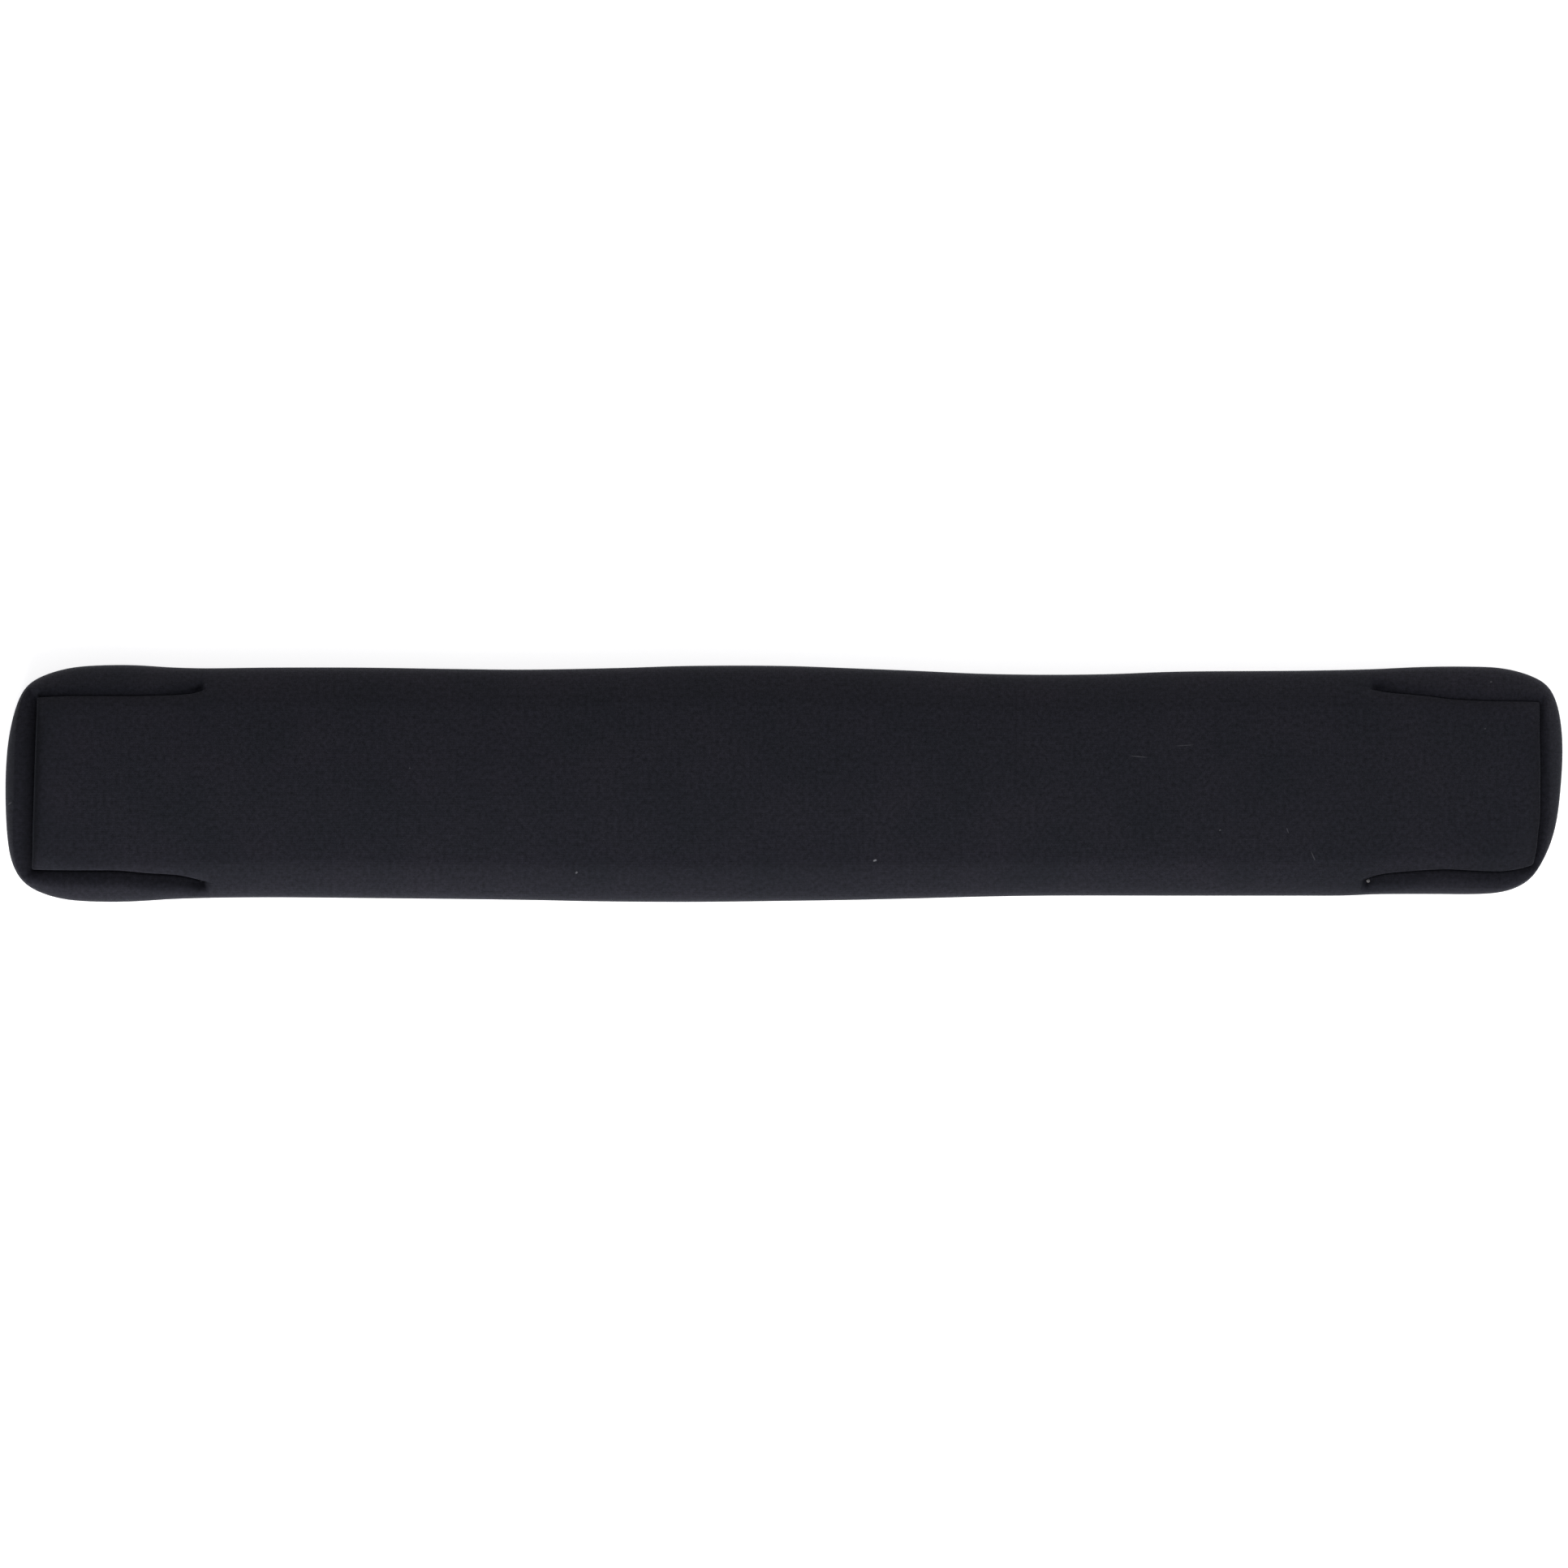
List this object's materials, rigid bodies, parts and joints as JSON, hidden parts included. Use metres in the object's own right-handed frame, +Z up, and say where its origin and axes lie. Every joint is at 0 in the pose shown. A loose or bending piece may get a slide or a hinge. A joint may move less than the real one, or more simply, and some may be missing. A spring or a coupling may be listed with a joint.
{
  "type": "keyboard wrist rest",
  "caption": "Long padded rest that supports the wrists in front of a keyboard: a smooth black jersey cover over a foam bar, on a non-slip rubber base.",
  "frame": {"origin": "middle of the non-slip base's underside, on the surface that the rest stands on", "axes": "+X along the rest to the user's right, +Y away from the user towards the keyboard, +Z up"},
  "size_m": [0.457, 0.069, 0.02],
  "materials": {
    "cover_jersey": "smooth fine-knit stretch jersey, near black with a faint cool sheen",
    "soft_foam": "open-cell foam, cream",
    "firm_foam": "fine-cell foam, dark grey",
    "adhesive": "thin cured adhesive film",
    "rubber_base": "matt black rubber sheet with a fine raised grip texture",
    "thread": "black polyester thread"
  },
  "bodies": {
    "root": {"cover": "cover_jersey", "comfort_foam": "soft_foam", "support_foam": "firm_foam", "base_adhesive": "adhesive", "non_slip_base": "rubber_base", "left_closing_seam": "thread", "right_closing_seam": "thread", "left_front_tack": "thread", "left_back_tack": "thread", "right_front_tack": "thread", "right_back_tack": "thread"}
  },
  "joints": []
}
